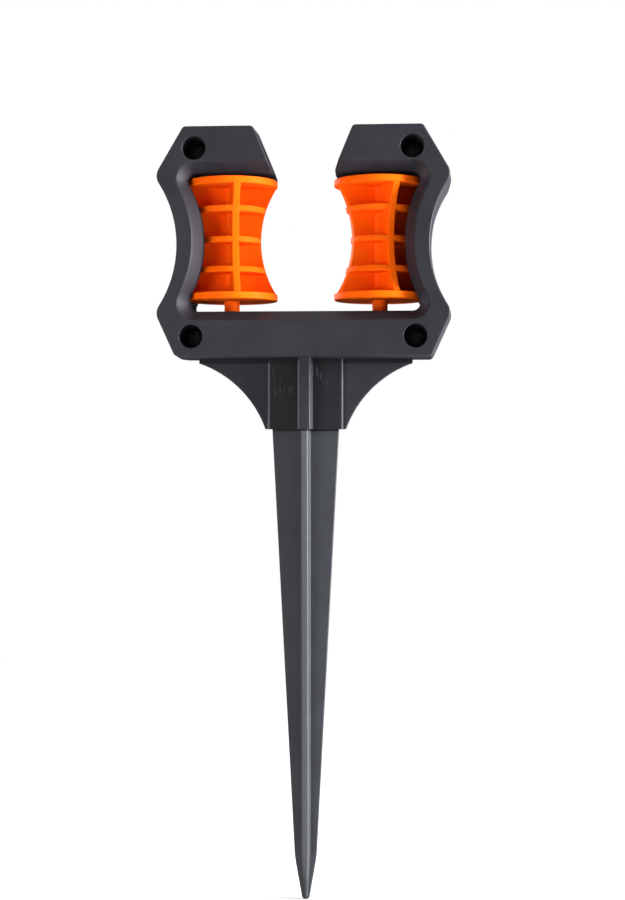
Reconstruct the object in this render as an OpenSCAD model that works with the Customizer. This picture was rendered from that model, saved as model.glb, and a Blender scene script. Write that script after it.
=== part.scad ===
// Hose guide stake: a split head with two hourglass rollers on a cruciform ground spike.
// X is right, Y is depth with the front at -Y, Z is up.
// The origin is at the ground line on the spike's axis.

/* [Head] */
// Depth of the head from front face to back face
head_d = 32; // [30:0.5:40]
// Height of the socket under the bar, from the ground line
socket_h = 23; // [18:0.5:32]
// Height of the bar
bar_h = 15.4; // [13:0.2:20]
// Clear height of the roller bay
bay_h = 46; // [40:0.5:60]
// Height of the jaws
jaw_h = 15.4; // [13:0.1:20]
// Width of one arm at its waist
arm_w = 8.7; // [7:0.1:10]
// How far the ears stand out beyond the waist
ear_bulge = 6.6; // [5:0.1:9]
// Radius of the rounded ears
ear_r = 5; // [4:0.1:7]
// Distance of the lower ear's centre below the floor of the bay
ear_low_drop = 0.8; // [0:0.1:3]
// Distance of the upper ear's centre below the jaw's underside
ear_high_drop = 1.4; // [0:0.1:3]
// How far the bottom corner's centre lies inside the ear
bottom_corner_run = 8.6; // [6:0.1:12]
// Radius of the bottom corners
bottom_corner_r = 3; // [2:0.1:4]
// How far the top corner's centre lies inside the ear
top_corner_run = 10.2; // [8:0.1:13]
// Radius of the top corners
top_corner_r = 2; // [1.8:0.1:3]
// Width of the mouth between the jaw tips
mouth_w = 20.4; // [16:0.2:24]
// Width of the mouth at the top
mouth_top_w = 33.2; // [28:0.2:40]
// Radius of the jaw tips
jaw_tip_r = 0.6; // [0.5:0.1:1.6]
// Radius of the bay's corners
bay_corner_r = 2.5; // [2:0.1:5]
// Radius of the arm's inner curve
arm_curve_r = 42; // [34:0.5:50]

/* [Edges and walls] */
// Rounding of the outer front and back edges
edge_r = 1; // [0.6:0.1:1.8]
// Slope around the bay: its width on bar and jaws
slope_w = 3.3; // [2:0.1:3.6]
// Slope around the bay: its width on the arms
arm_slope_w = 3.1; // [1.8:0.1:3.4]
// Slope around the bay: its depth
slope_d = 4.6; // [3:0.1:6]
// Outer wall of a shell
wall = 2.2; // [1.8:0.1:2.6]
// Wall of a shell beside the bay
bay_wall = 3.2; // [2.8:0.1:3.4]
// Wall of the bosses around the screw holes
boss_wall = 1.6; // [1.2:0.1:2]
// Material beside the journal bores
bearing_wall = 3; // [2:0.1:4]
// Material behind the ends of the journal bores
bearing_end_t = 2; // [1:0.1:3]

/* [Rollers] */
// Distance between the two roller axes
roller_pitch = 50; // [46:0.5:56]
// Radius of the roller's end flanges
flange_r = 15.4; // [13:0.1:15.4]
// Radius of the roller at its waist
roller_waist_r = 9.8; // [8:0.1:11]
// Radius of the hourglass curve
roller_curve_r = 33.5; // [30:0.5:50]
// Thickness of the end flanges
flange_t = 2.3; // [1.5:0.1:3]
// Thickness of the discs between the flanges
disc_t = 2; // [1.2:0.1:3]
// Thickness of the four webs
web_t = 2.3; // [1.5:0.1:3]
// Radius of the core and of the lower collar
core_r = 2.6; // [2.2:0.1:3.5]
// Radius of the journals
journal_r = 2; // [1.5:0.1:2.1]
// Length of the journals
journal_l = 6; // [4:0.5:7]
// Gap above the upper flange
upper_gap = 1.3; // [0.8:0.1:2]
// Height of the collar under the lower flange
collar_h = 3.9; // [2:0.1:6]
// Turn of the left roller
left_turn = 13; // [0:1:89]
// Turn of the right roller
right_turn = 24; // [0:1:89]

/* [Spike] */
// Length of the spike below the ground line
spike_l = 159.1; // [120:0.1:220]
// Length of the steep point at its end
point_l = 17; // [8:0.5:25]
// Width of the wings at the ground line
wing_w = 22.6; // [18:0.2:24]
// Width of the wings where the steep point starts
wing_end_w = 7.6; // [5:0.2:12]
// Depth of the ribs at the ground line
rib_d = 15; // [12:0.2:18]
// Thickness of wings and ribs at their root
blade_root_t = 2.8; // [2.6:0.1:4]
// Thickness of wings and ribs at their edge
blade_edge_t = 2.2; // [1.6:0.1:2.6]
// Radius of the blunt tip
tip_r = 1.4; // [1.2:0.1:2]
// How far the tang is set in from the spike's blades, on each side
tang_step = 0.4; // [0.2:0.1:0.8]
// Thickness of the tang in the socket
tang_t = 3; // [2.4:0.1:3.4]
// Height of the tang's head inside the bar
tang_head_h = 4; // [3:0.2:5]
// How far the tang's head is wider than the tang, on each side
tang_head_lip = 2; // [1.5:0.1:3]

/* [Socket] */
// Wall of the socket at the ends of the wings and over them
socket_wall = 1.8; // [1.4:0.1:2.4]
// Wall of the socket beside the rib
rib_wall = 1.25; // [1:0.05:2]
// Thickness of the gusset webs
gusset_t = 3; // [2:0.1:4]
// How far the gusset's foot stands out beside the socket
gusset_foot_w = 0.8; // [0:0.1:2]
// Distance of the gusset's outer end from the middle
gusset_reach = 36; // [28:0.5:38]
// Height of the gusset's outer end below the bar
gusset_end_h = 1.4; // [1:0.1:6]
// Radius of the gusset's hollow lower edge
gusset_r = 36.4; // [22:0.2:50]

/* [Screws] */
// Distance of the upper screws from the ear's outer edge
upper_screw_inset = 12.9; // [11:0.1:15]
// Distance of the lower screws from the ear's outer edge
lower_screw_inset = 11.8; // [10:0.1:14]
// Distance of the lower screws below the middle of the bar
lower_screw_drop = 0.8; // [0:0.1:2]
// Diameter of the screw's shank
screw_d = 3; // [2.5:0.1:3.5]
// Length of the screw under its head
screw_l = 14; // [11:0.5:16]
// Diameter of the screw's head
screw_head_d = 6.4; // [5.5:0.1:6.8]
// Height of the screw's head
screw_head_h = 2.4; // [1.8:0.1:3]
// Width of the slots of the screw's cross recess
recess_w = 1; // [0.6:0.1:1.4]
// Length of the slots of the screw's cross recess
recess_l = 3.2; // [2:0.1:4]
// Depth of the screw's cross recess
recess_d = 1.4; // [0.8:0.1:1.7]
// Diameter of the deep hole above the screw's head
counterbore_d = 7.8; // [7.4:0.1:8.4]
// Material under the screw's head
screw_seat_t = 5; // [3:0.2:7]
// Diameter of the pilot hole that the screw cuts into
pilot_d = 2.5; // [2:0.1:2.8]
// Spare depth of the pilot hole past the screw's point
pilot_spare = 0.5; // [0.2:0.1:1]

/* [Fits] */
// Gap between a roller and the walls around it
roller_gap = 0.6; // [0.4:0.1:1]
// How far the arm's lip covers the roller's waist
lip_cover = 1.2; // [0:0.1:1.6]
// Radial clearance of a journal in its bore
journal_clearance = 0.08; // [0.05:0.01:0.1]
// Gap under the collar and at the journal ends
end_play = 0.3; // [0.2:0.05:0.5]
// Gap between tang and socket
tang_gap = 0.1; // [0.05:0.05:0.2]
// Clearance of the screw in the front shell, on diameter
screw_clearance = 0.4; // [0.2:0.1:0.6]

/* [Hidden] */
$fn = 64;
// How far a cut runs past the face that it opens
past = 1;
charcoal = "#3a3a40";
orange = "#f57a12";
steel = "#55565a";

half_d = head_d / 2;
bay_z = socket_h + bar_h;
jaw_z = bay_z + bay_h;
top_z = jaw_z + jaw_h;

// The arms and ears follow the rollers.
roller_x = roller_pitch / 2;
bay_waist_x = roller_x + roller_waist_r - lip_cover;
waist_x = bay_waist_x + arm_w;
ear_x = waist_x + ear_bulge;
ear_low_z = bay_z - ear_low_drop;
ear_high_z = jaw_z - ear_high_drop;
waist_z = (ear_low_z + ear_high_z) / 2;
ear_rise = (ear_high_z - ear_low_z) / 2;
waist_r = (pow(ear_bulge, 2) + pow(ear_rise, 2)) / (2 * ear_bulge) - ear_r;

// Centres of the arcs of the outline's right half
waist_centre = [waist_x + waist_r, waist_z];
ear_low = [ear_x - ear_r, ear_low_z];
ear_high = [ear_x - ear_r, ear_high_z];
bottom_corner = [ear_x - bottom_corner_run, socket_h + bottom_corner_r];
top_corner = [ear_x - top_corner_run, top_z - top_corner_r];
arm_centre = [bay_waist_x + arm_curve_r, bay_z + bay_h / 2];

// The mouth's slanted side and its outward normal
mouth_top = [mouth_top_w / 2, top_z];
mouth_run = [(mouth_w - mouth_top_w) / 2, -jaw_h];
mouth_n = [mouth_run[1], -mouth_run[0]] / norm(mouth_run);
mouth_angle = atan2(mouth_n[1], mouth_n[0]);

// Least radius of a corner that is set in, and steps of the arcs
min_r = 0.3;
corner_steps = 4;
ear_steps = 5;
long_steps = 12;
edge_steps = 4;

roller_low_z = bay_z + collar_h + end_play;
roller_high_z = jaw_z - upper_gap;
roller_l = roller_high_z - roller_low_z;
roller_mid_z = (roller_low_z + roller_high_z) / 2;

upper_screw = [ear_x - upper_screw_inset, jaw_z + jaw_h / 2];
lower_screw = [ear_x - lower_screw_inset, socket_h + bar_h / 2 - lower_screw_drop];
boss_r = counterbore_d / 2 + boss_wall;

// The tang fills the socket, and its head lies above the bar's lower wall.
tang_w = wing_w - 2 * tang_step;
tang_d = rib_d - 2 * tang_step;
tang_head_z = socket_h + wall + tang_gap;
tang_head_w = tang_w + 2 * tang_head_lip;
socket_w = tang_w + 2 * (tang_gap + socket_wall);
socket_half_t = tang_t / 2 + tang_gap + socket_wall;
socket_half_d = tang_d / 2 + tang_gap + socket_wall;

function direction(v) = atan2(v[1], v[0]);

// Points of an arc, left out as many steps at both ends as skip says
function arc(centre, r, from, to, steps, skip = 0) = [
    for (i = [skip:steps - skip])
        let (a = from + (to - from) * i / steps)
        centre + r * [cos(a), sin(a)]
];

// Radius of an outer corner that is set in by c
function inset(r, c) = max(r - c, min_r);

// Direction of the outward normal of the line that touches two circles on their right
function tangent_angle(c1, r1, c2, r2) = direction(c2 - c1) - acos((r1 - r2) / norm(c2 - c1));

slant_low_angle = tangent_angle(bottom_corner, bottom_corner_r, ear_low, ear_r);
slant_high_angle = tangent_angle(ear_high, ear_r, top_corner, top_corner_r);
ear_angle = direction(waist_centre - ear_low);

// Right outer chain of the outline, upwards, set in by c
function outer_chain(c) = concat(
    arc(bottom_corner, inset(bottom_corner_r, c), -90, slant_low_angle, corner_steps),
    arc(ear_low, inset(ear_r, c), slant_low_angle, ear_angle, ear_steps),
    arc(waist_centre, waist_r + c, 180 + ear_angle, 180 - ear_angle, long_steps, 1),
    arc(ear_high, inset(ear_r, c), -ear_angle, slant_high_angle, ear_steps),
    arc(top_corner, inset(top_corner_r, c), slant_high_angle, 90, corner_steps)
);

// Centre of the rounding at the mouth's top
function mouth_corner() = mouth_top - top_corner_r * [(1 - mouth_n[1]) / mouth_n[0], 1];

// Centre of the rounding at the jaw's tip, set in by c at the mouth and s at the bay
function jaw_tip(c, s) =
    let (z = jaw_z + s + jaw_tip_r)
    [mouth_top[0] - (c + jaw_tip_r + mouth_n[1] * (z - top_z)) / mouth_n[0], z];

// Right inner chain of the outline, downwards
// It is set in by c at the mouth, by s at bar and jaw and by a at the arm.
function inner_chain(c, s, a) =
    let (
        rise = bay_h / 2 - bay_corner_r,
        reach = arm_curve_r + bay_corner_r + s - a,
        corner_x = arm_centre[0] - sqrt(pow(reach, 2) - pow(rise, 2)),
        turn = asin(rise / reach)
    )
    concat(
        arc(mouth_corner(), inset(top_corner_r, c), 90, mouth_angle, corner_steps),
        arc(jaw_tip(c, s), jaw_tip_r, mouth_angle, 270, corner_steps),
        arc([corner_x, jaw_z - bay_corner_r], bay_corner_r + s, 90, -turn, ear_steps),
        arc(arm_centre, arm_curve_r - a, 180 - turn, 180 + turn, long_steps, 1),
        arc([corner_x, bay_z + bay_corner_r], bay_corner_r + s, turn, -90, ear_steps)
    );

function mirrored(points) = [for (i = [len(points) - 1:-1:0]) [-points[i][0], points[i][1]]];

// Whole outline of the head seen from the front, anticlockwise
function outline(c, s, a) =
    let (right = concat(outer_chain(c), inner_chain(c, s, a)))
    concat(right, mirrored(right));

// Point counts of the outer chain's runs and the inner chain's runs that pair up, from the bar to the jaw
outer_runs = [corner_steps + ear_steps + 2, long_steps - 1, ear_steps + 1, corner_steps + 1];
inner_runs = [ear_steps + 1, long_steps - 1, ear_steps + 1, 2 * corner_steps + 2];

function total(list, n) = n == 0 ? 0 : list[n - 1] + total(list, n - 1);

run_count = len(outer_runs);
half_count = total(outer_runs, run_count) + total(inner_runs, run_count);
loop_count = 2 * half_count;

// Pairs of indices across the right half, one of the outer chain with one of the inner chain
rungs = [
    for (k = [0:run_count - 1])
        let (m = outer_runs[k], n = inner_runs[k], steps = max(m, n) - 1)
        for (i = [0:steps])
            [
                total(outer_runs, k) + round(i * (m - 1) / steps),
                half_count - 1 - total(inner_runs, k) - round(i * (n - 1) / steps)
            ]
];

// Triangles that close the outline, from rung to rung on both halves and across the bar
half_cap = [
    for (i = [0:len(rungs) - 2])
        let (p = rungs[i], q = rungs[i + 1])
        for (t = [[p[0], q[0], q[1]], [p[0], q[1], p[1]]])
            if (t[0] != t[1] && t[1] != t[2] && t[2] != t[0]) t
];
cap = concat(
    half_cap,
    [for (t = half_cap) [for (i = [2, 1, 0]) loop_count - 1 - t[i]]],
    [
        [loop_count - 1, 0, half_count - 1],
        [loop_count - 1, half_count - 1, half_count]
    ]
);

// Slope width at distance t behind the front face
function slope_at(w, t) = w * max(0, 1 - t / slope_d);

// Distances behind the front face and insets of the outer edge, from the parting plane forwards
edge_layers = concat(
    [[half_d, 0], [slope_d, 0]],
    [
        for (i = [0:edge_steps])
            let (a = 90 * i / edge_steps)
            [edge_r * (1 - sin(a)), edge_r * (1 - cos(a))]
    ]
);

// Closed front half of the head with its rounded edges and the slope around the bay
module head_skin() {
    points = [
        for (layer = edge_layers)
            let (t = layer[0])
            for (p = outline(layer[1], slope_at(slope_w, t), slope_at(arm_slope_w, t)))
                [p[0], t - half_d, p[1]]
    ];
    last = len(edge_layers) - 1;
    sides = [
        for (k = [0:last - 1])
            for (i = [0:loop_count - 1])
                let (
                    j = (i + 1) % loop_count,
                    a = k * loop_count + i,
                    b = k * loop_count + j,
                    c = a + loop_count,
                    d = b + loop_count
                )
                each [[a, c, d], [a, d, b]]
    ];
    front = [for (t = cap) [for (i = [2, 1, 0]) t[i] + last * loop_count]];
    polyhedron(points = points, faces = concat(cap, sides, front));
}

// Draws a front-view shape as a solid from the parting plane forwards
module forward(depth) {
    rotate([90, 0, 0])
        linear_extrude(depth)
            children();
}

module on_both_sides() {
    children();
    mirror([1, 0, 0])
        children();
}

// Places children at a screw's axis, with Z pointing to the front
module at_screw(place) {
    translate([place[0], 0, place[1]])
        rotate([90, 0, 0])
            children();
}

module hollow() {
    difference() {
        translate([0, past, 0])
            forward(half_d - wall + past)
                polygon(outline(wall, bay_wall, bay_wall));
        on_both_sides() {
            for (place = [upper_screw, lower_screw])
                at_screw(place)
                    cylinder(r = boss_r, h = half_d);
            bearing_blocks();
        }
        tang_block();
    }
}

block_w = 2 * (journal_r + bearing_wall);
block_h = journal_l + end_play + bearing_end_t;

// Blocks in bar and jaw that carry the half bores of the journals
module bearing_blocks() {
    for (z = [bay_z - block_h, jaw_z])
        translate([roller_x - block_w / 2, -half_d, z])
            cube([block_w, half_d, block_h]);
}

// Block in the bar around the tang's head
module tang_block() {
    width = tang_head_w + 2 * (tang_gap + wall);
    translate([-width / 2, -socket_half_d, socket_h])
        cube([width, socket_half_d, wall + tang_head_h + 2 * tang_gap + wall]);
}

// Front half of the socket: its wide part for the wings and its deep part for the rib
module socket_half() {
    height = socket_h + wall;
    translate([-socket_w / 2, -socket_half_t, 0])
        cube([socket_w, socket_half_t, height]);
    width = tang_t + 2 * (tang_gap + rib_wall);
    translate([-width / 2, -socket_half_d, 0])
        cube([width, socket_half_d, height]);
}

// The gusset's hollow edge runs from a point beside the socket's foot to a point under the bar.
gusset_foot = [socket_w / 2 + gusset_foot_w, 0];
gusset_end = [gusset_reach, socket_h - gusset_end_h];
gusset_chord = gusset_end - gusset_foot;
gusset_sag = sqrt(pow(gusset_r, 2) - pow(norm(gusset_chord) / 2, 2));
gusset_centre = (gusset_foot + gusset_end) / 2
    + gusset_sag * [gusset_chord[1], -gusset_chord[0]] / norm(gusset_chord);

module gusset_half() {
    edge = arc(
        gusset_centre, gusset_r,
        direction(gusset_foot - gusset_centre), direction(gusset_end - gusset_centre),
        long_steps
    );
    forward(gusset_t / 2)
        polygon(concat(
            edge,
            [[gusset_reach, socket_h + wall / 2], [0, socket_h + wall / 2], [0, 0]]
        ));
}

// Space that the tang and its head take, grown by a gap
module tang(gap) {
    for (size = [[tang_w, tang_t], [tang_t, tang_d]])
        translate([-size[0] / 2 - gap, -size[1] / 2 - gap, -gap])
            cube([size[0] + 2 * gap, size[1] + 2 * gap, tang_head_z + tang_head_h / 2 + gap]);
    translate([-tang_head_w / 2 - gap, -tang_t / 2 - gap, tang_head_z - gap])
        cube([tang_head_w + 2 * gap, tang_t + 2 * gap, tang_head_h + 2 * gap]);
}

// Radius of the hourglass curve at a height from the roller's middle
function hourglass(z) = roller_waist_r + roller_curve_r - sqrt(pow(roller_curve_r, 2) - pow(z, 2));

// Upright half section of the roller's envelope, from flange to flange, grown by a gap
function envelope(gap) =
    let (half = roller_l / 2, inner = half - flange_t)
    concat(
        [[0, -half - gap], [flange_r + gap, -half - gap], [flange_r + gap, -inner + gap]],
        [
            for (i = [0:long_steps])
                let (z = (inner - gap) * (2 * i / long_steps - 1))
                [min(hourglass(z), flange_r) + gap, z]
        ],
        [[flange_r + gap, inner - gap], [flange_r + gap, half + gap], [0, half + gap]]
    );

// Room for one roller to turn: its envelope, its collar and the bores of its journals
module roller_room() {
    translate([roller_x, 0, 0]) {
        translate([0, 0, roller_mid_z])
            rotate_extrude()
                polygon(envelope(roller_gap));
        bore_l = journal_l + end_play;
        for (z = [bay_z - bore_l, jaw_z - past])
            translate([0, 0, z])
                cylinder(r = journal_r + journal_clearance, h = bore_l + past);
    }
}

// Front half of the head, without holes for screws
module half_shell() {
    difference() {
        union() {
            difference() {
                head_skin();
                hollow();
            }
            socket_half();
            on_both_sides()
                gusset_half();
        }
        on_both_sides()
            roller_room();
        tang(tang_gap);
    }
}

module front_shell() {
    color(charcoal)
        difference() {
            half_shell();
            on_both_sides()
                for (place = [upper_screw, lower_screw])
                    at_screw(place) {
                        translate([0, 0, -past])
                            cylinder(d = screw_d + screw_clearance, h = half_d + past);
                        translate([0, 0, screw_seat_t])
                            cylinder(d = counterbore_d, h = half_d);
                    }
        }
}

module rear_shell() {
    color(charcoal)
        mirror([0, 1, 0])
            difference() {
                half_shell();
                on_both_sides()
                    for (place = [upper_screw, lower_screw])
                        at_screw(place)
                            translate([0, 0, -past])
                                cylinder(d = pilot_d, h = screw_l - screw_seat_t + pilot_spare + past);
            }
}

module roller() {
    half = roller_l / 2;
    color(orange)
        translate([0, 0, roller_mid_z]) {
            for (z = [-half, half - flange_t])
                translate([0, 0, z])
                    cylinder(r = flange_r, h = flange_t);
            for (z = [-half / 2, 0, half / 2])
                translate([0, 0, z - disc_t / 2])
                    cylinder(r = hourglass(z), h = disc_t);
            for (a = [0, 90])
                rotate([0, 0, a])
                    roller_web();
            translate([0, 0, -half - collar_h])
                cylinder(r = core_r, h = roller_l + collar_h);
            translate([0, 0, -half - collar_h - journal_l - end_play])
                cylinder(r = journal_r, h = journal_l + end_play + past);
            translate([0, 0, half - past])
                cylinder(r = journal_r, h = journal_l + upper_gap + past);
        }
}

// One web across the roller, with the hourglass curve on both edges
module roller_web() {
    inner = roller_l / 2 - flange_t / 2;
    side = [
        for (i = [0:2 * long_steps])
            let (z = inner * (i / long_steps - 1))
            [min(hourglass(z), flange_r), z]
    ];
    translate([0, web_t / 2, 0])
        rotate([90, 0, 0])
            linear_extrude(web_t)
                polygon(concat(side, [for (i = [2 * long_steps:-1:0]) [-side[i][0], side[i][1]]]));
}

module left_roller() {
    translate([-roller_x, 0, 0])
        rotate([0, 0, left_turn])
            roller();
}

module right_roller() {
    translate([roller_x, 0, 0])
        rotate([0, 0, right_turn])
            roller();
}

// Cross section of the spike: four tapered blades, anticlockwise from the right wing
function cross(wing, rib) = [
    for (k = [0:3])
        let (
            reach = k % 2 == 0 ? wing : rib,
            edge = min(blade_edge_t / 2, reach),
            root = min(blade_root_t / 2, reach)
        )
        for (p = [[reach, -edge], [reach, edge], [root, root]])
            [p[0] * cos(90 * k) - p[1] * sin(90 * k), p[0] * sin(90 * k) + p[1] * cos(90 * k)]
];

// Heights, wing reach and rib reach of the spike's sections, from the ground line down
spike_sections = [
    [0, wing_w / 2, rib_d / 2],
    [-(spike_l - point_l), wing_end_w / 2, wing_end_w / 2],
    [-(spike_l - tip_r), tip_r, tip_r],
    [-spike_l, tip_r / 2, tip_r / 2]
];

module spike_blades() {
    count = len(cross(tip_r, tip_r));
    last = len(spike_sections) - 1;
    points = concat(
        [for (s = spike_sections) for (p = cross(s[1], s[2])) [p[0], p[1], s[0]]],
        [[0, 0, spike_sections[0][0]], [0, 0, spike_sections[last][0]]]
    );
    sides = [
        for (k = [0:last - 1])
            for (i = [0:count - 1])
                let (
                    j = (i + 1) % count,
                    a = k * count + i,
                    b = k * count + j,
                    c = a + count,
                    d = b + count
                )
                each [[a, b, d], [a, d, c]]
    ];
    top_point = (last + 1) * count;
    top = [for (i = [0:count - 1]) [top_point, (i + 1) % count, i]];
    tip = [for (i = [0:count - 1]) [top_point + 1, last * count + i, last * count + (i + 1) % count]];
    polyhedron(points = points, faces = concat(top, sides, tip));
}

module spike() {
    color(charcoal) {
        spike_blades();
        tang(0);
    }
}

// A self-tapping screw with a domed head and a cross recess, its head's underside on the seat
module screw() {
    head_r = screw_head_d / 2;
    color(steel)
        translate([0, 0, screw_seat_t])
            difference() {
                rotate_extrude()
                    polygon(concat(
                        [
                            [0, -screw_l],
                            [screw_d / 2, -screw_l + screw_d],
                            [screw_d / 2, 0],
                            [head_r, 0]
                        ],
                        [
                            for (i = [0:corner_steps])
                                let (a = 90 * i / corner_steps)
                                [head_r * cos(a), screw_head_h / 2 * (1 + sin(a))]
                        ]
                    ));
                for (a = [0, 90])
                    rotate([0, 0, a])
                        translate([-recess_l / 2, -recess_w / 2, screw_head_h - recess_d])
                            cube([recess_l, recess_w, recess_d + past]);
            }
}

module upper_left_screw() {
    at_screw([-upper_screw[0], upper_screw[1]])
        screw();
}

module upper_right_screw() {
    at_screw(upper_screw)
        screw();
}

module lower_left_screw() {
    at_screw([-lower_screw[0], lower_screw[1]])
        screw();
}

module lower_right_screw() {
    at_screw(lower_screw)
        screw();
}

front_shell();
rear_shell();
left_roller();
right_roller();
spike();
upper_left_screw();
upper_right_screw();
lower_left_screw();
lower_right_screw();
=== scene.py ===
# %% [markdown]
# # Dressing a hose guide stake
# The stake keeps a garden hose off the flower beds: a hose runs between two orange rollers, which
# turn in a charcoal plastic head on a long ground spike. The exact solids already exist and move, so
# this lesson models the moulded skin that a camera sees: rounded edges, slopes, deep screw holes and
# plastic finishes. Loading the packed model first gives every later piece its place, because both
# share one frame in metres.

from math import acos, asin, atan2, cos, degrees, radians, sin, sqrt, tan

import bmesh
import bpy
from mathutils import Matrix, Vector


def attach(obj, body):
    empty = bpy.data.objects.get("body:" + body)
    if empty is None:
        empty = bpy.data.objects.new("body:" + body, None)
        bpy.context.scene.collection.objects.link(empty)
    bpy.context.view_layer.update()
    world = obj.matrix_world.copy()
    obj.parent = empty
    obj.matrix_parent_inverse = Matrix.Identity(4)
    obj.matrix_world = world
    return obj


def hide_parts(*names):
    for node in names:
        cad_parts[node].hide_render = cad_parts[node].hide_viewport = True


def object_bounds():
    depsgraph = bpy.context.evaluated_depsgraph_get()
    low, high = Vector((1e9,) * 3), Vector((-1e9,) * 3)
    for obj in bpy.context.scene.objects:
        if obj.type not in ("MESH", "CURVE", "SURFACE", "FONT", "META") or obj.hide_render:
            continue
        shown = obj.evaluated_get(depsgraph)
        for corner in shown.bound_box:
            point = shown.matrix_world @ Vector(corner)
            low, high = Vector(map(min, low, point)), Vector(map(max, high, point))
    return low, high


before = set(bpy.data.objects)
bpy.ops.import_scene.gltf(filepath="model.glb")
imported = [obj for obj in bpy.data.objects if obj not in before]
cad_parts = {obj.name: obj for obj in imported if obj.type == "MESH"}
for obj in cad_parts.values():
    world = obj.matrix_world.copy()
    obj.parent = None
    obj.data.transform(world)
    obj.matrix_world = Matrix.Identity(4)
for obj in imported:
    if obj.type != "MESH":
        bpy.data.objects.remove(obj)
cad_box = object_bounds()
MM = 0.001
scene = bpy.context.scene
scene.view_settings.view_transform = "Standard"
print("size in mm:", [round((high - low) / MM, 1) for low, high in zip(*cad_box)])

# %% [markdown]
# ## The camera
# A product photograph is taken from straight ahead with a long lens. The slight view of the
# right-hand walls tells that the camera stood a little to the right, so it is turned about the
# upright axis by a few degrees. The focal length in pixels is the image's height times lens over
# sensor height, which is why the sensor is fitted vertically.

# %% Camera
CAMERA_TURN = radians(3.8)
CAMERA_DISTANCE, CAMERA_SIDE, CAMERA_RISE = 600 * MM, 2.25 * MM, -7.6 * MM
SENSOR_HEIGHT, LENS = 36, 71.112
to_right = Vector((cos(CAMERA_TURN), sin(CAMERA_TURN), 0))
to_viewer = Vector((sin(CAMERA_TURN), -cos(CAMERA_TURN), 0))
bpy.ops.object.camera_add(
    location=to_right * CAMERA_SIDE + to_viewer * CAMERA_DISTANCE + Vector((0, 0, CAMERA_RISE)),
    rotation=(radians(90), 0, CAMERA_TURN),
)
camera = bpy.context.object
camera.data.sensor_fit = "VERTICAL"
camera.data.sensor_height = SENSOR_HEIGHT
camera.data.lens = LENS
scene.camera = camera
print("camera at", [round(c, 4) for c in camera.location])

# %% [markdown]
# ## Shader wires
# A finish is a sum of small patterns. Writing each sum with Math nodes by hand hides the idea, so one
# class wraps a node's output and turns Python's own operators into Math nodes. Its node method makes
# every other node: settings first, then values or links for the sockets.

# %% Shader wires
class Wire:
    """One output of a shader node, which can be added, subtracted and multiplied like a number."""

    def __init__(self, socket):
        self.socket = socket
        self.tree = socket.id_data

    @staticmethod
    def node(tree, kind, settings=None, sockets=None, output=0):
        """Makes a node, or sets up the one that is given, and returns a wire from an output."""
        made = tree.nodes.new(kind) if isinstance(kind, str) else kind
        for name, value in (settings or {}).items():
            setattr(made, name, value)
        for name, value in (sockets or {}).items():
            if isinstance(value, Wire):
                tree.links.new(value.socket, made.inputs[name])
            else:
                made.inputs[name].default_value = value
        return Wire(made.outputs[output]) if made.outputs else None

    def math(self, operation, first, second):
        """A Math node on two wires or numbers."""
        settings = {"operation": operation}
        return Wire.node(self.tree, "ShaderNodeMath", settings, {0: first, 1: second})

    def __add__(self, other):
        return self.math("ADD", self, other)

    __radd__ = __add__

    def __sub__(self, other):
        return self.math("SUBTRACT", self, other)

    def __rsub__(self, other):
        return self.math("SUBTRACT", other, self)

    def __mul__(self, other):
        return self.math("MULTIPLY", self, other)

    __rmul__ = __mul__

    def rise(self, low, high):
        """0 at the low value, 1 at the high value and a smooth rise between them."""
        return Wire.node(
            self.tree, "ShaderNodeMapRange", {"interpolation_type": "SMOOTHSTEP"},
            {"Value": self, "From Min": low, "From Max": high},
        )


print("reflected operators:", [name for name in vars(Wire) if name.startswith("__r")])

# %% [markdown]
# ## Light
# The photograph was lit by one large soft light far out on the right, which grazes the front face and
# shines on every slope that faces right. Weaker light from above and from the front left opens the
# shadows and the rollers' pockets. Area lights of about that size give the same shading and the
# bright right-hand edges. Their power is set so that a colour renders about as it is written on the
# front face. A last one behind the left shoulder is hidden from the camera's side and lights the
# views from there.

# %% Softboxes
HEAD_AIM = (0, 0, 0.03)


def softbox(name, place, size, power):
    """Adds a square area light that looks at the head, in metres and watts."""
    bpy.ops.object.light_add(type="AREA", location=place)
    lamp = bpy.context.object
    lamp.name = lamp.data.name = name
    lamp.rotation_euler = (Vector(HEAD_AIM) - Vector(place)).to_track_quat("-Z", "Y").to_euler()
    lamp.data.shape = "SQUARE"
    lamp.data.size = size
    lamp.data.energy = power


softbox("right_softbox", (1.0, -0.15, 0.08), size=0.5, power=52)
softbox("top_softbox", (-0.1, -0.6, 0.85), size=0.6, power=2)
softbox("left_softbox", (-0.45, -0.65, -0.1), size=0.25, power=4.3)
softbox("back_softbox", (-0.75, 0.65, 0.3), size=0.5, power=9)

# %% [markdown]
# ## Background
# A studio's white backdrop would throw much light on the object. So the background is white only for
# rays that come from the camera, a mirror or glass, and dim for rays that light the object. The Light
# Path node tells them apart.

# %% Background
AMBIENT = 0.04


def seen_directly(tree):
    """A wire that is 1 for rays from the camera, a mirror or glass, and 0 for rays of light."""
    rays = tree.nodes.new("ShaderNodeLightPath").outputs
    names = ("Is Camera Ray", "Is Glossy Ray", "Is Transmission Ray")
    return sum(Wire(rays[name]) for name in names).rise(0, 0.5)


world = bpy.data.worlds.new("studio")
scene.world = world
world.use_nodes = True
tree = world.node_tree
tree.nodes.clear()
sky = Wire.node(
    tree, "ShaderNodeBackground", None,
    {"Color": (1, 1, 1, 1), "Strength": AMBIENT + (1 - AMBIENT) * seen_directly(tree)},
)
Wire.node(tree, "ShaderNodeOutputWorld", None, {"Surface": sky})
print("ambient light:", AMBIENT)

# %% [markdown]
# ## Floor
# The floor lies at the spike's tip. A plain white floor looks grey where the lamps don't reach. More
# light would spoil the object's shading, so the floor glows a little for the same rays as the
# background, keeps the shadow round the spike and turns white further away.

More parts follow.
